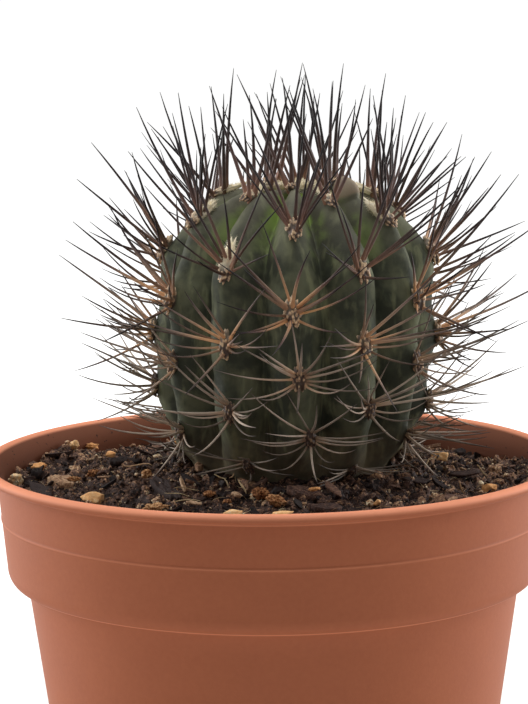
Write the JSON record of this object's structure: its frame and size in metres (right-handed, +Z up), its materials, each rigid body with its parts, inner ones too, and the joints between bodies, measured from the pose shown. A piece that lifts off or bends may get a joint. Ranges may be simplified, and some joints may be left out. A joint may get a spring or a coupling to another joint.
{
  "type": "potted globe cactus",
  "caption": "Ribbed globe-shaped cactus with long dark spines, growing in peaty mix in a tapered terracotta-coloured plastic nursery pot with a tall collar and rolled lip.",
  "frame": {"origin": "centre of the pot's flat underside, at the middle of the whole part's width and depth", "axes": "+Z up the pot's axis, -Y towards the viewer of the picture, +X to the viewer's right"},
  "size_m": [0.12, 0.12, 0.1833],
  "materials": {
    "pot_plastic": "matte, faintly mottled",
    "cactus_skin": "waxy plant skin with dark horny spines",
    "growing_mix": "rough, damp peat",
    "stone": "rough, dusty",
    "bark": "rough, fibrous"
  },
  "bodies": {
    "root": {"pot": "pot_plastic", "cactus": "cactus_skin", "stone_1": "stone", "stone_2": "stone", "stone_3": "stone", "stone_4": "stone", "stone_5": "stone", "stone_6": "stone", "stone_7": "stone", "stone_8": "stone", "stone_9": "stone", "stone_10": "stone", "bark_chip_1": "bark", "bark_chip_2": "bark", "bark_chip_3": "bark", "bark_chip_4": "bark", "bark_chip_5": "bark", "bark_chip_6": "bark", "soil": "growing_mix"}
  },
  "joints": []
}
